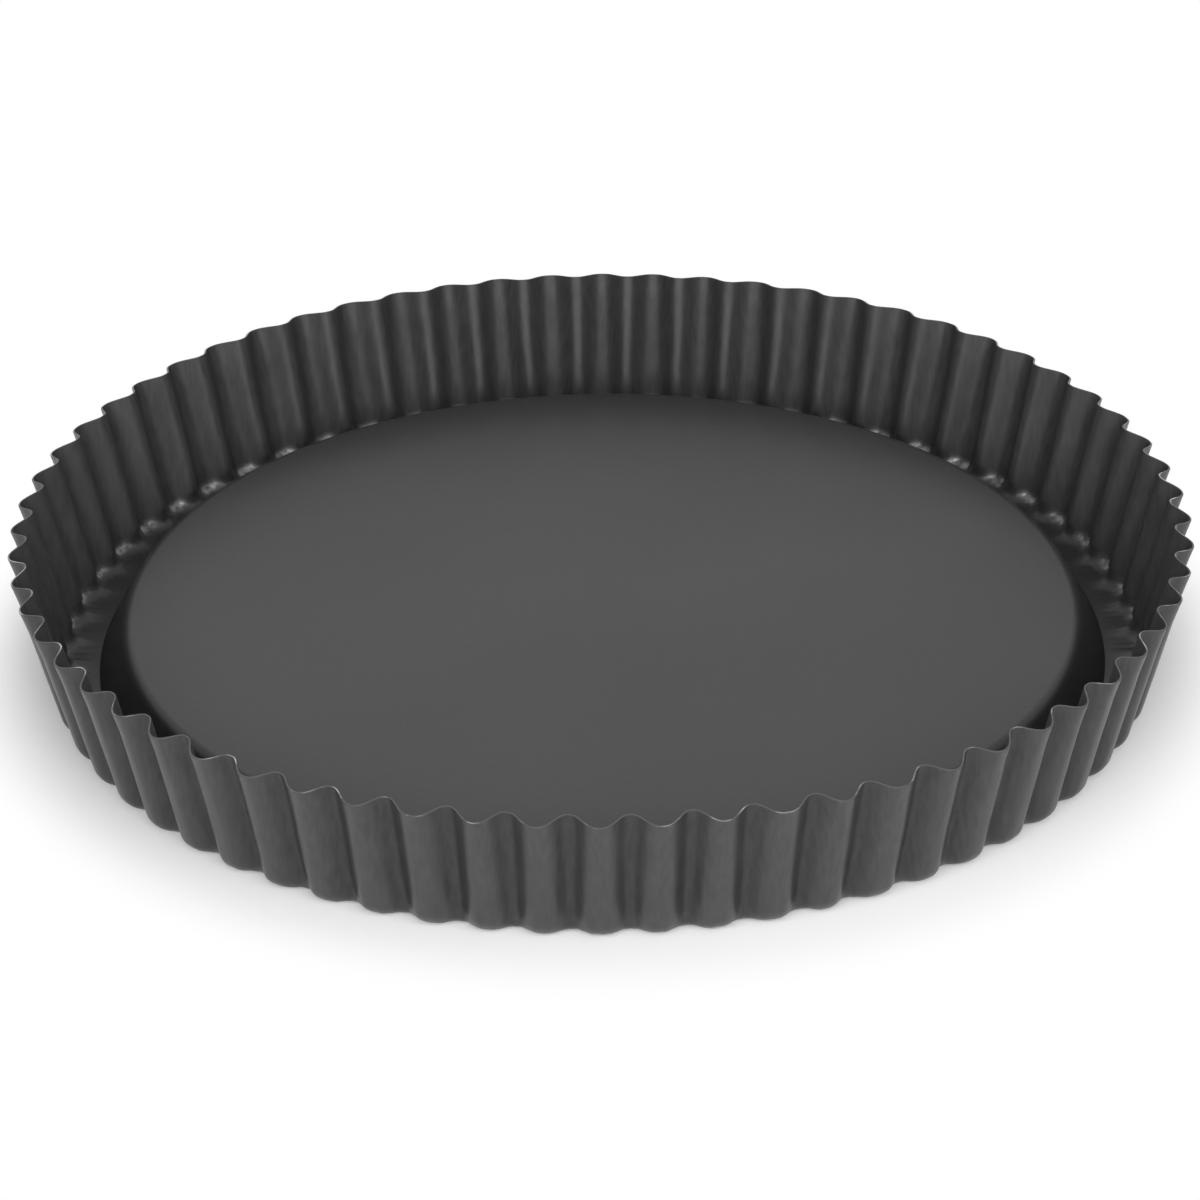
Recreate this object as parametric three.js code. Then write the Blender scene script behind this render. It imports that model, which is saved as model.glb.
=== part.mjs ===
// A round fluted flan pan with a raised base that lifts out.
// Millimetres, +Z up. The origin is at the centre of the pan, on the surface that it stands on.
import * as THREE from 'three';
import { LoftGeometry } from 'three/addons/geometries/LoftGeometry.js';
import { mergeVertices } from 'three/addons/utils/BufferGeometryUtils.js';

// Fluted ring: outside sizes along the crests of the flutes
const rimDiameter = 280;
const footDiameter = 261.2; // where the lines of the wall and of the floor would cross
const crestHeight = 34.2; // rim above the table, on a crest
const cornerRadius = 5.8; // outside, where the wall turns into the floor
const ringSheet = 0.5;

// Flutes: broad crests outside, slim ridges inside
const fluteCount = 64;
const rimFluteDepth = 4.35;
const footFluteDepth = 3.8;
const rimBreadth = 1.2; // 1 is a plain wave, and more makes the crests broad and the ridges slim
const footBreadth = 1.55;
const ridgeShare = 0.06; // level part of a ridge, as a share of one flute

// Channel and seat: the flat floor beside the base, and the lip that the base stands on
const channelWidth = 5.8;
const lipWidth = 6;
const seatClearance = 0.2;

// Lift-out base: a disc with a rolled edge and a leaning skirt
const baseHeight = 12.2; // foot of the skirt to the top
const baseEdgeRadius = 5; // outside
const skirtLean = THREE.MathUtils.degToRad(25); // inwards from upright
const baseSheet = 0.5;

// Facets
const cornerSteps = 3;
const baseEdgeSteps = 4;
const baseSegments = 80;
const fluteColumns = [0, 0.12, 0.27, 0.4, 0.5, 0.6, 0.73, 0.88]; // shares of one flute, from a crest's centre

// Finish: one grey non-stick coat on both pieces
const coatLook = { color: '#464646', roughness: 0.38, metalness: 0 };

// Places worked out from the sizes above
const rimRadius = rimDiameter / 2;
const footRadius = footDiameter / 2;
const wallLean = Math.atan2(rimRadius - footRadius, crestHeight);
const wallTurn = Math.PI / 2 - wallLean; // from the level floor up to the wall
const cornerStartRadius = footRadius - cornerRadius * Math.tan(wallTurn / 2);
const baseFootRadius = cornerStartRadius - channelWidth;
const lipRadius = baseFootRadius - lipWidth;
const seatHeight = ringSheet + seatClearance;

// The ring's section, as lengths along the middle of its sheet from the lip's edge to the rim
const middleCornerRadius = cornerRadius - ringSheet / 2;
const floorLength = cornerStartRadius - lipRadius;
const cornerLength = middleCornerRadius * wallTurn;
const wallStart = floorLength + cornerLength;
const wallLength = Math.hypot(rimRadius - footRadius, crestHeight) - cornerRadius * Math.tan(wallTurn / 2);
const sectionLength = wallStart + wallLength;

// Where a length along the section lies on the crest line, and how the flutes stand there.
// Heading turns from 0 on the level floor to wallTurn on the wall.
function sectionAt(length) {
  const onCorner = THREE.MathUtils.clamp(length - floorLength, 0, cornerLength);
  const onWall = Math.max(length - wallStart, 0);
  const heading = onCorner / middleCornerRadius;
  const onFloor = Math.min(length, floorLength);
  const climb = onWall / wallLength;
  const fade = THREE.MathUtils.smoothstep(onCorner, 0, cornerLength);
  return {
    heading,
    radius: lipRadius + onFloor + middleCornerRadius * Math.sin(heading) + onWall * Math.cos(heading),
    height: ringSheet / 2 + middleCornerRadius * (1 - Math.cos(heading)) + onWall * Math.sin(heading),
    depth: fade * THREE.MathUtils.lerp(footFluteDepth, rimFluteDepth, climb),
    breadth: THREE.MathUtils.lerp(footBreadth, rimBreadth, climb),
  };
}

// A flute's wave: 0 on a crest, 1 on a ridge, with the flute counted from the centre of a crest.
function fluteWave(flute, breadth) {
  const fromCrest = Math.abs(flute - Math.round(flute));
  const upFlank = Math.min(fromCrest / (0.5 - ridgeShare / 2), 1);
  return Math.sin((Math.PI / 2) * upFlank ** breadth) ** 2;
}

// The middle of the sheet: the flutes push the crest line square to the wall, towards the inside.
// Flute 0 has its crest at the front of the pan, on -Y.
function sheetMiddle(flute, length) {
  const place = sectionAt(length);
  const push = place.depth * fluteWave(flute, place.breadth);
  const radius = place.radius - push * Math.sin(place.heading);
  const angle = (flute / fluteCount) * 2 * Math.PI;
  return new THREE.Vector3(
    radius * Math.sin(angle),
    -radius * Math.cos(angle),
    place.height + push * Math.cos(place.heading),
  );
}

// The outward direction square to the sheet, from small steps along it both ways.
function sheetOutward(flute, length) {
  const step = 1e-3;
  const low = Math.max(length - step, 0);
  const high = Math.min(length + step, sectionLength);
  const around = sheetMiddle(flute + step, length).sub(sheetMiddle(flute - step, length));
  const along = sheetMiddle(flute, high).sub(sheetMiddle(flute, low));
  return around.cross(along).normalize();
}

// One cut through the sheet: up its inside from the lip to the rim, and down its outside again.
function ringSection(flute) {
  const lengths = [0];
  for (let i = 0; i <= cornerSteps; i++) {
    lengths.push(floorLength + (cornerLength * i) / cornerSteps);
  }
  lengths.push(sectionLength);
  const face = (side) => (length) =>
    sheetMiddle(flute, length).addScaledVector(sheetOutward(flute, length), (side * ringSheet) / 2);
  return [...lengths.map(face(-1)), ...lengths.reverse().map(face(1))];
}

function flutedRingGeometry() {
  const sections = [];
  for (let flute = 0; flute < fluteCount; flute++) {
    for (const column of fluteColumns) {
      sections.push(ringSection(flute + column));
    }
  }
  sections.push(sections[0]);
  return new LoftGeometry(sections);
}

// The base's profile: out along its underside to the trimmed foot of the skirt, then back over the
// rolled edge to the centre. The underside is the top moved in square by the sheet's thickness.
function baseGeometry() {
  const edgeTurn = Math.PI / 2 - skirtLean;
  const topCornerRadius = baseFootRadius - baseHeight * Math.tan(skirtLean);
  const edgeCentre = new THREE.Vector2(
    topCornerRadius - baseEdgeRadius * Math.tan(edgeTurn / 2),
    baseHeight - baseEdgeRadius,
  );
  const over = [];
  const under = [];
  for (let i = 0; i <= baseEdgeSteps; i++) {
    const turn = (edgeTurn * i) / baseEdgeSteps;
    const outward = new THREE.Vector2(Math.sin(turn), Math.cos(turn));
    over.push(edgeCentre.clone().addScaledVector(outward, baseEdgeRadius));
    under.push(edgeCentre.clone().addScaledVector(outward, baseEdgeRadius - baseSheet));
  }
  over.unshift(new THREE.Vector2(0, baseHeight));
  under.unshift(new THREE.Vector2(0, baseHeight - baseSheet));
  over.push(new THREE.Vector2(baseFootRadius, 0));
  under.push(new THREE.Vector2(baseFootRadius - baseSheet / Math.cos(skirtLean), 0));
  const profile = [...under, ...over.reverse()];
  return new THREE.LatheGeometry(profile, baseSegments).rotateX(Math.PI / 2);
}

// A closed body whose faces share their corners, without the empty faces at a lathe's axis.
function closedBody(geometry) {
  const bare = new THREE.BufferGeometry();
  bare.setAttribute('position', geometry.getAttribute('position'));
  bare.setIndex(geometry.index);
  const merged = mergeVertices(bare);
  const corners = merged.index.array;
  const kept = [];
  for (let i = 0; i < corners.length; i += 3) {
    const [a, b, c] = corners.slice(i, i + 3);
    if (a !== b && b !== c && c !== a) {
      kept.push(a, b, c);
    }
  }
  merged.setIndex(kept);
  merged.computeVertexNormals();
  return merged;
}

function piece(name, geometry) {
  const mesh = new THREE.Mesh(closedBody(geometry), new THREE.MeshStandardMaterial(coatLook));
  mesh.name = name;
  return mesh;
}

const flanPan = new THREE.Group();
flanPan.add(piece('fluted_ring', flutedRingGeometry()));

const liftOutBase = piece('lift_out_base', baseGeometry());
liftOutBase.position.z = seatHeight;
flanPan.add(liftOutBase);

export default flanPan;
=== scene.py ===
import math
import random

import bmesh
import bpy
from mathutils import Matrix, Vector, noise


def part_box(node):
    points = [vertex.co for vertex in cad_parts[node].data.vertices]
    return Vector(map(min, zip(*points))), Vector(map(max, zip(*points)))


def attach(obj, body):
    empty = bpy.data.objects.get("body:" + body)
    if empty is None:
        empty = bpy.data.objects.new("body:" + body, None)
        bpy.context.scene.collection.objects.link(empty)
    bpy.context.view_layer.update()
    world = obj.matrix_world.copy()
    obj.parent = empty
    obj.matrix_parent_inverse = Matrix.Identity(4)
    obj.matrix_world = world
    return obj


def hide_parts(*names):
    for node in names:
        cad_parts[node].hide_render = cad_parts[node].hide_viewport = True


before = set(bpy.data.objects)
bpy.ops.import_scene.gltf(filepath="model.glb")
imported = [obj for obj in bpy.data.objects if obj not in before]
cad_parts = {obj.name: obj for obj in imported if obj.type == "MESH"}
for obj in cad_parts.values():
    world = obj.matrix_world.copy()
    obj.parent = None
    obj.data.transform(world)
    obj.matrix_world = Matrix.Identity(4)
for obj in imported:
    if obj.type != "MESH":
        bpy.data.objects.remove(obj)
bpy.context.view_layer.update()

# Boxes of the solids, in metres
RING_LOW, RING_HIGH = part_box("fluted_ring")
BASE_LOW, BASE_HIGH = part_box("lift_out_base")
MM = 0.001

# Pressed ring: outside sizes along the crests of its flutes
SHEET = 0.5 * MM
RIM_RADIUS = RING_HIGH[0]
FOOT_RADIUS = 130.6 * MM  # where the lines of the wall and of the floor would cross
CREST_HEIGHT = 34.2 * MM
CORNER_RADIUS = 5.8 * MM
LIP_WIDTH = 6 * MM  # how far the lip reaches in under the base's foot

# Flutes
FLUTES = 64
RIM_FLUTE_DEPTH = 4.25 * MM
FOOT_FLUTE_DEPTH = 3.8 * MM
RIM_BREADTH = 1.2  # 1 is a plain wave, and more makes the crests broad and the ridges slim
FOOT_BREADTH = 1.55
RIDGE_SHARE = 0.06  # level part of a ridge, as a share of one flute
PUCKER_REACH = 5 * MM  # how far the flutes run out over the channel floor

# Unevenness that the press leaves
DENT = 0.08 * MM
DENT_LENGTH = 14 * MM
WRINKLE = 0.25 * MM  # fine radial creases where the corner gathers the sheet
WRINKLE_WIDTH = 2.4 * MM
FLARE = 0.4 * MM  # how far the crests hollow in below the rim, which leaves a flared edge
FLARE_HEIGHT = 6 * MM
RIDGE_SEED = 64
RIDGE_SWAY = 0.018  # how far a ridge strays sideways, as a share of one flute
RIDGE_WANDER = 0.03  # how far it strays further along its height
WANDER_LENGTH = 18 * MM
RIDGE_SPREAD = 0.08  # how much shallower than the deepest a ridge can be
RUB_GLINT_TURN = math.radians(42)  # where on the corner the press rubs the feet of the flutes, and where the painted glints sit
RUB_GLINT_BREADTH = math.radians(24)

# Pressed base
BASE_RADIUS = BASE_HIGH[0]
BASE_EDGE_RADIUS = 3.2 * MM
SKIRT_LEAN = math.radians(28)  # inwards from upright

# Rows and columns of the meshes
FLUTE_COLUMNS = 24
CORNER_ROWS = 10
WALL_ROWS = 10
FLOOR_ROWS = 5
BASE_COLUMNS = 256
BASE_EDGE_ROWS = 8
BASE_TOP_ROWS = 6
SKIRT_ROWS = 3
EDGE_ROUND = 0.12 * MM  # burr-free corners of the trimmed sheet
EDGE_SHARPNESS = math.radians(50)  # corners sharper than this are rounded
MERGE_GAP = 0.001 * MM  # vertices nearer than this are one

# Non-stick coat: sizes of its patterns
CLOUD_SIZE = 60 * MM  # slow changes of tone over the baked coat
STREAK_WIDTH = 1 * MM  # near 0.3 mm on the real sheet, and drawn coarser so that it shows
STREAK_STRETCH = 10  # how many times as long as wide a streak is
GRAIN_SIZE = 0.7 * MM  # near 0.2 mm on the real coat, and drawn coarser so that it shows
GRAIN_DEPTH = 0.02 * MM
GRAIN_STRENGTH = 0.12
SPECK_SIZE = 1.5 * MM  # of the specks of rubbing and painted glint at the feet of the flutes
NOISE_LOW = 0.3  # nearly all of a noise lies between these two
NOISE_HIGH = 0.7

# Non-stick coat: its gloss
SMOOTH_SATIN = 0.34  # roughness of the smoothest part of the coat
ROUGH_SATIN = 0.4
RUBBED_ROUGHNESS = 0.12
COAT_IOR = 1.42
PAINTED_SHADE_IOR = 1.32  # lower IOR that paints shade into the hollows of the flutes
PAINTED_SHEEN_GAIN = 0.1  # what the painted sheen adds to the coat's IOR on the outsides of the crests
# IOR that paints bright glints into the rubbed feet of the flutes, far above the coat's own
PAINTED_GLINT_IOR = 2.3
SIDE_REACH = 50 * MM  # a face whose plane lies this far from the centre is fully inside or outside
FACING_UP = 0.2  # a normal that climbs this much is on the inside of the corner

# Trimmed edge of the steel sheet
SHEAR_LENGTH = 6 * MM  # of the bright and dull stretches that the die leaves
STEEL_ROUGHNESS = 0.3

# Camera of the photograph
CAMERA_TURN = math.radians(-0.46)
CAMERA_RISE = math.radians(28.58)
CAMERA_DISTANCE = 1279.1 * MM
CAMERA_ROLL = math.radians(-0.773)
CAMERA_TARGET = Vector((-0.36, 0, 13.83)) * MM
CAMERA_SENSOR = 36  # millimetres, as the lens is
CAMERA_LENS = 160.67

# Studio, in metres
LAMP_DISTANCE = 1.3
FLOOR_RADIUS = 6
FLOOR_GAP = 0.05 * MM  # keeps the floor clear of the pan's underside
FLOOR_GLOW = 0.08  # lifts the shadow a little for the viewer
SURROUND_LIGHT = 0.1
SHADOW_REACH = 130 * MM  # from the axis, where the floor starts to turn plain white
WHITE_REACH = 156 * MM  # and where it is plain white

# Places worked out from the sizes above
WALL_LEAN = math.atan2(RIM_RADIUS - FOOT_RADIUS, CREST_HEIGHT)
WALL_TURN = math.pi / 2 - WALL_LEAN
CORNER_START = FOOT_RADIUS - CORNER_RADIUS * math.tan(WALL_TURN / 2)
LIP_RADIUS = BASE_RADIUS - LIP_WIDTH
FLOOR_MIDDLE = SHEET / 2
CORNER_MIDDLE = CORNER_RADIUS - SHEET / 2
WALL_START_HEIGHT = FLOOR_MIDDLE + CORNER_MIDDLE * (1 - math.cos(WALL_TURN))
RIM_MIDDLE_RADIUS = RIM_RADIUS - SHEET / 2 * math.cos(WALL_LEAN)
RIM_MIDDLE_HEIGHT = CREST_HEIGHT + SHEET / 2 * math.sin(WALL_LEAN)


def linear(code):
    """An sRGB hex colour as the linear values that a shader takes."""
    parts = [int(code[i:i + 2], 16) / 255 for i in (1, 3, 5)]
    return [p / 12.92 if p <= 0.04045 else ((p + 0.055) / 1.055) ** 2.4 for p in parts] + [1]


def smooth(share):
    """0 below 0, 1 above 1, and an easy bend between."""
    share = min(max(share, 0), 1)
    return share * share * (3 - 2 * share)


def blend(low, high, share):
    return low + (high - low) * share


def add_node(tree, kind, inputs=None, **settings):
    """A node with its settings, whose inputs are values or other nodes' outputs."""
    node = tree.nodes.new(kind)
    for name, value in settings.items():
        setattr(node, name, value)
    for name, value in (inputs or {}).items():
        if isinstance(value, bpy.types.NodeSocket):
            tree.links.new(value, node.inputs[name])
        else:
            node.inputs[name].default_value = value
    return node


def new_material(name):
    material = bpy.data.materials.new(name)
    material.use_nodes = True
    material.node_tree.nodes.clear()
    return material


def streaked_colour(tree, place, cloud, streaks):
    """The coat's slow changes of tone, with faint streaks where the sheet was drawn down the flutes."""
    tone = add_node(tree, "ShaderNodeMix", {
        "Factor": cloud, "A": linear("#28282a"), "B": linear("#2f2f30")}, data_type="RGBA")
    drawn = add_node(tree, "ShaderNodeMapping", {"Vector": place, "Scale": (1, 1, 1 / STREAK_STRETCH)})
    streak = add_node(tree, "ShaderNodeTexNoise", {
        "Vector": drawn.outputs["Vector"], "Scale": 1 / STREAK_WIDTH, "Detail": 2.0})
    shown = add_node(tree, "ShaderNodeMapRange", {
        "Value": streak.outputs["Fac"], "From Min": NOISE_LOW, "From Max": NOISE_HIGH, "To Max": streaks})
    shade = add_node(tree, "ShaderNodeMix", {
        "Factor": shown.outputs["Result"], "A": tone.outputs["Result"], "B": linear("#3d3d3e")},
        data_type="RGBA")
    return shade.outputs["Result"]


def rub_and_glint_feet(tree, place, normal):
    """Specks at the inside feet of the flutes: rubbing that lowers the roughness, and painted glints that
    raise the IOR.
    """
    rub_glint_node = add_node(tree, "ShaderNodeAttribute", attribute_name="rub_glint_mark")
    facing = add_node(tree, "ShaderNodeSeparateXYZ", {"Vector": normal})
    inside = add_node(tree, "ShaderNodeMapRange", {
        "Value": facing.outputs["Z"], "From Max": FACING_UP, "To Max": rub_glint_node.outputs["Fac"]})
    speck = add_node(tree, "ShaderNodeTexNoise", {"Vector": place, "Scale": 1 / SPECK_SIZE, "Detail": 2.0})
    rub_and_glint = add_node(tree, "ShaderNodeMapRange", {
        "Value": speck.outputs["Fac"], "From Min": 0.25, "From Max": 0.6, "To Max": inside.outputs["Result"]})
    return rub_and_glint.outputs["Result"]


def painted_sheen_ior(tree, place, normal):
    """The coat's IOR, with painted sheen on the outsides of the crests and painted shade in the hollows of
    the flutes.

    The flute is 1 on a ridge, -1 on a crest and 0 off the wall. High is 1 on the side that stands out.
    """
    flute = add_node(tree, "ShaderNodeAttribute", attribute_name="flute")
    outward = add_node(tree, "ShaderNodeVectorMath", {0: normal, 1: place}, operation="DOT_PRODUCT")
    side = add_node(tree, "ShaderNodeMapRange", {
        "Value": outward.outputs["Value"], "From Min": -SIDE_REACH, "From Max": SIDE_REACH,
        "To Min": 1.0, "To Max": -1.0})
    high = add_node(tree, "ShaderNodeMath", {0: flute.outputs["Fac"], 1: side.outputs["Result"]},
                    operation="MULTIPLY")
    # painted shade: a lower IOR in the hollows of the flutes dims their sheen
    plain = add_node(tree, "ShaderNodeMapRange", {
        "Value": high.outputs["Value"], "From Min": -1.0, "From Max": 0.0,
        "To Min": PAINTED_SHADE_IOR, "To Max": COAT_IOR})
    # painted sheen: a higher IOR on the outsides of the crests
    painted_sheen = add_node(tree, "ShaderNodeMapRange", {
        "Value": outward.outputs["Value"], "From Max": SIDE_REACH, "To Max": PAINTED_SHEEN_GAIN})
    painted_sheen_part = add_node(tree, "ShaderNodeMapRange", {
        "Value": high.outputs["Value"], "To Max": painted_sheen.outputs["Result"]})
    total = add_node(tree, "ShaderNodeMath", {0: plain.outputs["Result"], 1: painted_sheen_part.outputs["Result"]},
                     operation="ADD")
    return total.outputs["Value"]


def nonstick_coat(name, streaks):
    """Dark grey fluoropolymer non-stick coat, rolled and baked on the steel sheet before pressing.

    The eye gets a satin sheen that pales at low angles, faint streaks where the sheet was drawn down
    the flutes, lower roughness and painted glints (a raised IOR) where the press rubs the feet of the
    flutes, painted sheen on the outsides of the crests and painted shade in the hollows of the flutes.
    """
    material = new_material(name)
    tree = material.node_tree
    place = add_node(tree, "ShaderNodeTexCoord").outputs["Object"]
    normal = add_node(tree, "ShaderNodeNewGeometry").outputs["Normal"]
    cloud = add_node(tree, "ShaderNodeTexNoise", {"Vector": place, "Scale": 1 / CLOUD_SIZE, "Detail": 3.0})
    satin = add_node(tree, "ShaderNodeMapRange", {
        "Value": cloud.outputs["Fac"], "From Min": NOISE_LOW, "From Max": NOISE_HIGH,
        "To Min": SMOOTH_SATIN, "To Max": ROUGH_SATIN})
    rub_and_glint = rub_and_glint_feet(tree, place, normal)
    gloss = add_node(tree, "ShaderNodeMapRange", {
        "Value": rub_and_glint, "To Min": satin.outputs["Result"], "To Max": RUBBED_ROUGHNESS})
    # the IOR carries painted glints at the feet, and painted sheen and shade on the flutes
    sheen = add_node(tree, "ShaderNodeMapRange", {
        "Value": rub_and_glint, "To Min": painted_sheen_ior(tree, place, normal), "To Max": PAINTED_GLINT_IOR})
    grain = add_node(tree, "ShaderNodeTexNoise", {"Vector": place, "Scale": 1 / GRAIN_SIZE, "Detail": 2.0})
    bump = add_node(tree, "ShaderNodeBump", {
        "Height": grain.outputs["Fac"], "Strength": GRAIN_STRENGTH, "Distance": GRAIN_DEPTH})
    shader = add_node(tree, "ShaderNodeBsdfPrincipled", {
        "Base Color": streaked_colour(tree, place, cloud.outputs["Fac"], streaks),
        "Roughness": gloss.outputs["Result"], "IOR": sheen.outputs["Result"],
        "Normal": bump.outputs["Normal"]})
    add_node(tree, "ShaderNodeOutputMaterial", {"Surface": shader.outputs["BSDF"]})
    return material


def trimmed_steel(name):
    """Bare cut edge of the steel sheet, bright where the trimming die sheared it."""
    material = new_material(name)
    tree = material.node_tree
    place = add_node(tree, "ShaderNodeTexCoord").outputs["Object"]
    shear = add_node(tree, "ShaderNodeTexNoise", {
        "Vector": place, "Scale": 1 / SHEAR_LENGTH, "Detail": 3.0})
    bright = add_node(tree, "ShaderNodeMapRange", {
        "Value": shear.outputs["Fac"], "From Min": 0.55, "From Max": 0.75})
    colour = add_node(tree, "ShaderNodeMix", {
        "Factor": bright.outputs["Result"], "A": linear("#707070"), "B": linear("#e4e4e2")},
        data_type="RGBA")
    shader = add_node(tree, "ShaderNodeBsdfPrincipled", {
        "Base Color": colour.outputs["Result"], "Metallic": 1.0, "Roughness": STEEL_ROUGHNESS})
    add_node(tree, "ShaderNodeOutputMaterial", {"Surface": shader.outputs["BSDF"]})
    return material


def finished_sheet(name, form, materials, offset):
    """An object of pressed sheet: its thickness, its trimmed edges and their small rounds."""
    mesh = bpy.data.meshes.new(name)
    form.to_mesh(mesh)
    form.free()
    mesh.polygons.foreach_set("use_smooth", [True] * len(mesh.polygons))
    for material in materials:
        mesh.materials.append(material)
    piece = bpy.data.objects.new(name, mesh)
    bpy.context.scene.collection.objects.link(piece)
    sheet = piece.modifiers.new("sheet", "SOLIDIFY")
    sheet.thickness = SHEET
    sheet.offset = offset
    sheet.use_even_offset = True
    sheet.use_quality_normals = True
    sheet.material_offset_rim = 1
    edge = piece.modifiers.new("edge", "BEVEL")
    edge.width = EDGE_ROUND
    edge.segments = 2
    edge.material = 0
    edge.limit_method = "ANGLE"
    edge.angle_limit = EDGE_SHARPNESS
    edge.harden_normals = True
    return piece


def spin_profile(form, columns, copies=1):
    """Spins a profile in the XZ plane into one part of a turn, and copies that part all round."""
    part = 2 * math.pi / copies
    bmesh.ops.spin(form, geom=form.verts[:] + form.edges[:], cent=(0, 0, 0), axis=(0, 0, 1),
                   dvec=(0, 0, 0), angle=part, steps=columns, use_merge=copies == 1)
    if copies > 1:
        bmesh.ops.spin(form, geom=form.verts[:] + form.edges[:] + form.faces[:], cent=(0, 0, 0),
                       axis=(0, 0, 1), dvec=(0, 0, 0), angle=2 * math.pi - part, steps=copies - 1,
                       use_duplicate=True)
    bmesh.ops.remove_doubles(form, verts=form.verts[:], dist=MERGE_GAP)
    bmesh.ops.recalc_face_normals(form, faces=form.faces[:])


def carry_on(form, start, rows, shift=(0, 0, 0), centre=(0, 0, 0), turn=0):
    """Carries a profile on from a vertex, straight or round a centre, and returns the last vertex."""
    made = bmesh.ops.spin(form, geom=[start], cent=centre, axis=(0, 1, 0), dvec=Vector(shift) / rows,
                          angle=turn, steps=rows)
    return made["geom_last"][0]


def press_flutes(form):
    """Pushes the ridges of the flutes in from the plain flared wall, square to its section.

    The flutes are full on the wall, fade round the corner and run out as puckers on the floor.
    """
    draw = random.Random(RIDGE_SEED)
    ridge_sway = [draw.uniform(-RIDGE_SWAY, RIDGE_SWAY) for _ in range(FLUTES)]
    ridge_depth = [draw.uniform(1 - RIDGE_SPREAD, 1) for _ in range(FLUTES)]
    run_out = PUCKER_REACH + CORNER_MIDDLE * WALL_TURN
    # mark of the rubbing and of the painted glints at the feet of the flutes
    rub_glint_mark = form.verts.layers.float.new("rub_glint_mark")
    on_flute = form.verts.layers.float.new("flute")
    for vert in form.verts:
        x, y, z = vert.co
        radius = math.hypot(x, y)
        around = math.atan2(x, -y)
        flute = around / (2 * math.pi) * FLUTES
        ridge = math.floor(flute)
        # Where the vertex lies on the section: along the floor, round the corner and up the wall
        lift = (z - FLOOR_MIDDLE) / CORNER_MIDDLE
        heading = math.acos(min(max(1 - lift, math.cos(WALL_TURN)), 1))
        on_floor = max(CORNER_START - radius, 0)
        fade = smooth((heading * CORNER_MIDDLE + PUCKER_REACH - on_floor) / run_out) ** 2
        climb = min(max((z - WALL_START_HEIGHT) / (RIM_MIDDLE_HEIGHT - WALL_START_HEIGHT), 0), 1)
        # The wave is 0 on a crest and 1 on a ridge
        wander = RIDGE_WANDER * noise.noise((ridge % FLUTES + 0.5, 0, z / WANDER_LENGTH))
        from_crest = 0.5 - abs(flute - ridge - 0.5 - ridge_sway[ridge % FLUTES] - wander)
        breadth = blend(FOOT_BREADTH, RIM_BREADTH, climb)
        up_flank = min(max(from_crest / (0.5 - RIDGE_SHARE / 2), 0), 1)
        wave = math.sin(math.pi / 2 * up_flank ** breadth) ** 2
        depth = blend(FOOT_FLUTE_DEPTH, RIM_FLUTE_DEPTH, climb) * ridge_depth[ridge % FLUTES]
        # Marks that the coat's material reads; the flute mark places its painted sheen and shade
        # the band of rubbing and painted glints on the inside of the pockets' feet
        on_rub_glint_band = 1 - abs(heading - RUB_GLINT_TURN) / RUB_GLINT_BREADTH
        vert[rub_glint_mark] = smooth(on_rub_glint_band) * (1 - wave) ** 2
        vert[on_flute] = fade * (2 * wave - 1)
        # The small unevenness, and the push of it all
        outward = Vector((x, y, 0)).normalized()
        dent = DENT * fade * noise.noise(vert.co / DENT_LENGTH)
        gather = smooth(1 - on_floor / PUCKER_REACH) * (1 - smooth(heading / WALL_TURN))
        wrinkle = WRINKLE * gather * abs(noise.noise(outward * (FOOT_RADIUS / WRINKLE_WIDTH)))
        below_rim = (RIM_MIDDLE_HEIGHT - z) / FLARE_HEIGHT
        hollow = FLARE * climb * (1 - wave) * min(below_rim, 1)
        push = depth * fade * wave + hollow + dent + wrinkle
        pressed = radius - push * math.sin(heading)
        vert.co = (pressed * math.sin(around), -pressed * math.cos(around), z + push * math.cos(heading))


def pressed_ring(coat, edge):
    """The ring's sheet from the lip's edge over the channel floor and the corner to the rim."""
    form = bmesh.new()
    lip = form.verts.new((LIP_RADIUS, 0, FLOOR_MIDDLE))
    foot = carry_on(form, lip, FLOOR_ROWS, shift=(CORNER_START - LIP_RADIUS, 0, 0))
    centre = (CORNER_START, 0, FLOOR_MIDDLE + CORNER_MIDDLE)
    wall = carry_on(form, foot, CORNER_ROWS, centre=centre, turn=-WALL_TURN)
    rim = Vector((RIM_MIDDLE_RADIUS, 0, RIM_MIDDLE_HEIGHT))
    carry_on(form, wall, WALL_ROWS, shift=rim - wall.co)
    spin_profile(form, FLUTE_COLUMNS, FLUTES)
    press_flutes(form)
    piece = finished_sheet("pressed_ring", form, [coat, edge], 0)
    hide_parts("fluted_ring")
    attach(piece, "ring")


def pressed_base(coat, edge):
    """The base's sheet from the middle of its top over the rolled edge to the foot of its skirt."""
    top = BASE_HIGH[2]
    foot_height = BASE_LOW[2] + SHEET * math.sin(SKIRT_LEAN)
    edge_turn = math.pi / 2 - SKIRT_LEAN
    corner = BASE_RADIUS - (top - BASE_LOW[2]) * math.tan(SKIRT_LEAN)
    flat = corner - BASE_EDGE_RADIUS * math.tan(edge_turn / 2)
    form = bmesh.new()
    middle = form.verts.new((0, 0, top))
    brink = carry_on(form, middle, BASE_TOP_ROWS, shift=(flat, 0, 0))
    centre = (flat, 0, top - BASE_EDGE_RADIUS)
    skirt = carry_on(form, brink, BASE_EDGE_ROWS, centre=centre, turn=edge_turn)
    foot = Vector((BASE_RADIUS - (foot_height - BASE_LOW[2]) * math.tan(SKIRT_LEAN), 0, foot_height))
    carry_on(form, skirt, SKIRT_ROWS, shift=foot - skirt.co)
    spin_profile(form, BASE_COLUMNS)
    piece = finished_sheet("pressed_base", form, [coat, edge], -1)
    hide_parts("lift_out_base")
    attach(piece, "base")


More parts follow.
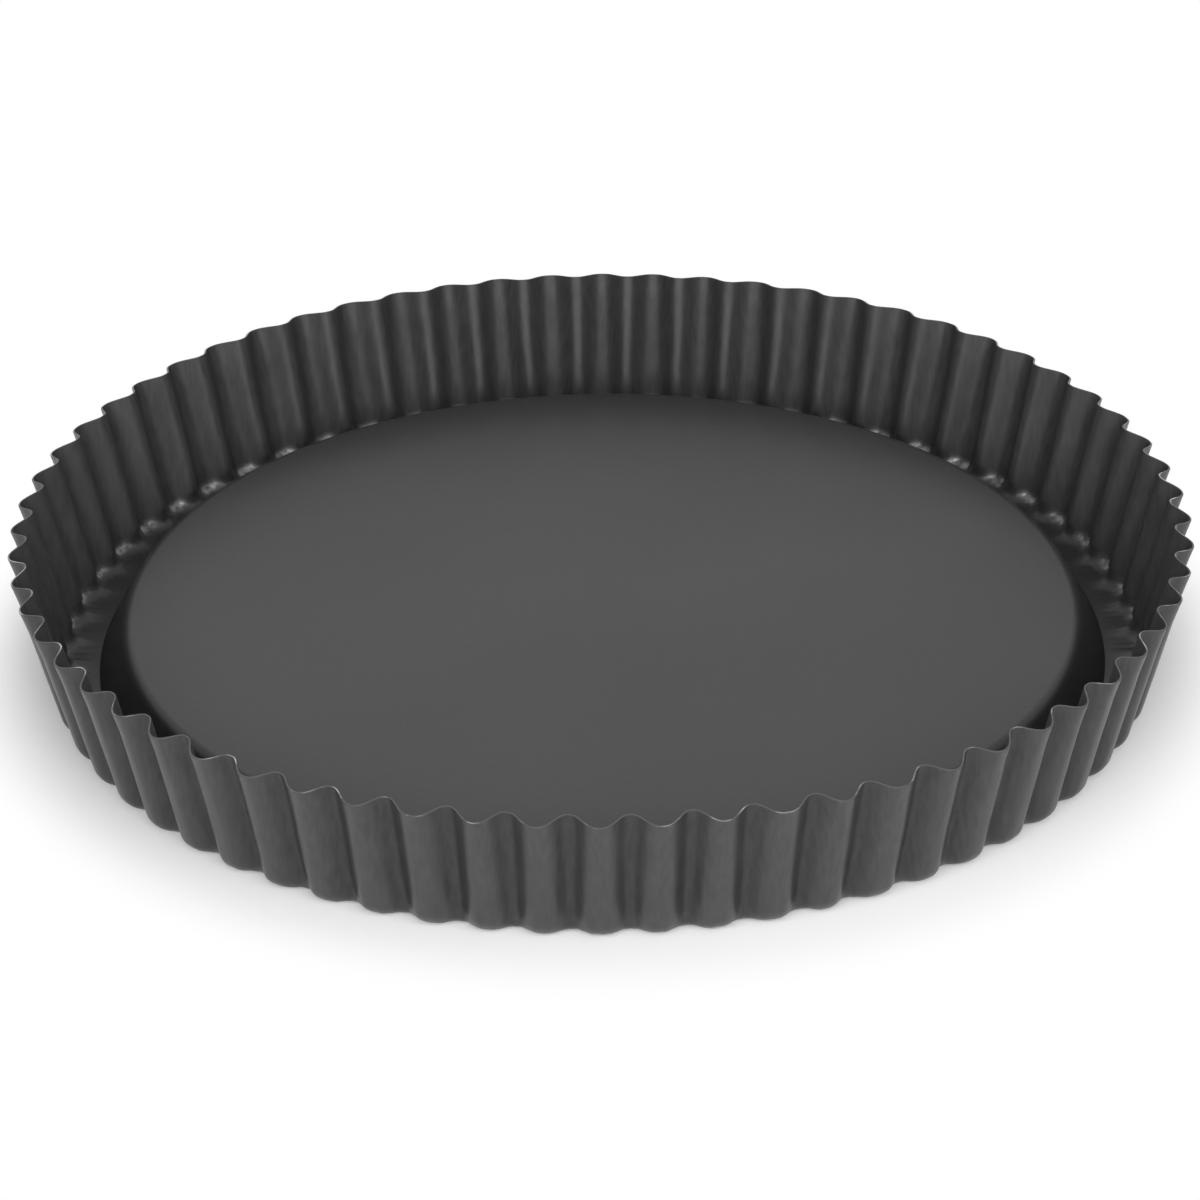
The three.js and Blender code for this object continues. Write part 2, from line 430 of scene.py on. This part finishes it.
def shown_ray(tree):
    """1 for a ray that a viewer, a gloss or a clear piece looks along, and 0 for one that only lights."""
    path = add_node(tree, "ShaderNodeLightPath").outputs
    seen = add_node(tree, "ShaderNodeMath", {0: path["Is Camera Ray"], 1: path["Is Glossy Ray"]},
                    operation="MAXIMUM")
    also = add_node(tree, "ShaderNodeMath", {0: seen.outputs["Value"], 1: path["Is Transmission Ray"]},
                    operation="MAXIMUM")
    return also.outputs["Value"]


def pale_floor():
    """A plain white floor that keeps the pan's shadow, and is white to the viewer away from it."""
    material = new_material("white_floor")
    tree = material.node_tree
    shown = shown_ray(tree)
    matt = add_node(tree, "ShaderNodeBsdfDiffuse", {"Color": linear("#f4f4f4")})
    lift = add_node(tree, "ShaderNodeMath", {0: shown, 1: FLOOR_GLOW}, operation="MULTIPLY")
    glow = add_node(tree, "ShaderNodeEmission", {"Strength": lift.outputs["Value"]})
    near = add_node(tree, "ShaderNodeAddShader", {0: matt.outputs["BSDF"], 1: glow.outputs["Emission"]})
    white = add_node(tree, "ShaderNodeEmission", {"Strength": 1.0})
    place = add_node(tree, "ShaderNodeTexCoord").outputs["Object"]
    reach = add_node(tree, "ShaderNodeVectorMath", {0: place}, operation="LENGTH")
    away = add_node(tree, "ShaderNodeMapRange", {
        "Value": reach.outputs["Value"], "From Min": SHADOW_REACH, "From Max": WHITE_REACH, "To Max": shown},
        interpolation_type="SMOOTHSTEP")
    both = add_node(tree, "ShaderNodeMixShader", {
        0: away.outputs["Result"], 1: near.outputs["Shader"], 2: white.outputs["Emission"]})
    add_node(tree, "ShaderNodeOutputMaterial", {"Surface": both.outputs["Shader"]})
    form = bmesh.new()
    bmesh.ops.create_circle(form, cap_ends=True, segments=64, radius=FLOOR_RADIUS)
    bmesh.ops.translate(form, verts=form.verts[:], vec=(0, 0, RING_LOW[2] - FLOOR_GAP))
    mesh = bpy.data.meshes.new("floor")
    form.to_mesh(mesh)
    form.free()
    mesh.materials.append(material)
    floor = bpy.data.objects.new("floor", mesh)
    bpy.context.scene.collection.objects.link(floor)


def softbox(name, turn, rise, width, height, radiance):
    """A lamp that faces the pan, turned from the front to the right and raised, in degrees."""
    lamp = bpy.data.lights.new(name, "AREA")
    lamp.shape = "RECTANGLE"
    lamp.size = width
    lamp.size_y = height
    lamp.energy = radiance * math.pi * width * height
    toward = Matrix.Rotation(math.radians(turn), 3, "Z") @ Vector((0, -1, 0))
    toward = toward * math.cos(math.radians(rise)) + Vector((0, 0, math.sin(math.radians(rise))))
    box = bpy.data.objects.new(name, lamp)
    box.location = toward * LAMP_DISTANCE
    box.rotation_euler = toward.to_track_quat("Z", "Y").to_euler()
    box.visible_camera = False
    bpy.context.scene.collection.objects.link(box)


def studio_light():
    """A white surround, wide softboxes in front, and weaker ones at the right and behind the pan."""
    world = bpy.data.worlds.new("white_surround")
    bpy.context.scene.world = world
    world.use_nodes = True
    tree = world.node_tree
    tree.nodes.clear()
    level = add_node(tree, "ShaderNodeMapRange", {
        "Value": shown_ray(tree), "To Min": SURROUND_LIGHT, "To Max": 1.0})
    surround = add_node(tree, "ShaderNodeBackground", {"Strength": level.outputs["Result"]})
    add_node(tree, "ShaderNodeOutputWorld", {"Surface": surround.outputs["Background"]})
    softbox("low_front_strip", turn=0, rise=8, width=2.6, height=0.36, radiance=1.5)
    softbox("front_softbox", turn=0, rise=20, width=1.4, height=0.4, radiance=2.9)
    softbox("wide_front_strip", turn=0, rise=28, width=2.6, height=0.5, radiance=1.5)
    softbox("high_front_strip", turn=0, rise=38, width=2.6, height=0.5, radiance=3.6)
    softbox("right_softbox", turn=60, rise=50, width=0.8, height=0.8, radiance=1)
    softbox("back_softbox", turn=180, rise=30, width=0.8, height=0.8, radiance=0.3)


def photo_camera():
    """The camera of the photograph: a long lens, a little off the front and tipped down."""
    ahead = Vector((math.sin(CAMERA_TURN) * math.cos(CAMERA_RISE),
                    math.cos(CAMERA_TURN) * math.cos(CAMERA_RISE), -math.sin(CAMERA_RISE)))
    side = Vector((math.cos(CAMERA_TURN), -math.sin(CAMERA_TURN), 0))
    over = side.cross(ahead)
    right = side * math.cos(CAMERA_ROLL) + over * math.sin(CAMERA_ROLL)
    up = over * math.cos(CAMERA_ROLL) - side * math.sin(CAMERA_ROLL)
    data = bpy.data.cameras.new("photo_camera")
    data.sensor_width = CAMERA_SENSOR
    data.lens = CAMERA_LENS
    camera = bpy.data.objects.new("photo_camera", data)
    camera.matrix_world = Matrix.Translation(CAMERA_TARGET - ahead * CAMERA_DISTANCE) @ Matrix(
        (right, up, -ahead)).transposed().to_4x4()
    bpy.context.scene.collection.objects.link(camera)
    bpy.context.scene.camera = camera


steel_edge = trimmed_steel("trimmed_steel_edge")
pressed_ring(nonstick_coat("ring_nonstick_coat", streaks=0.6), steel_edge)
pressed_base(nonstick_coat("base_nonstick_coat", streaks=0.25), steel_edge)
pale_floor()
studio_light()
photo_camera()
bpy.context.scene.view_settings.view_transform = "Standard"
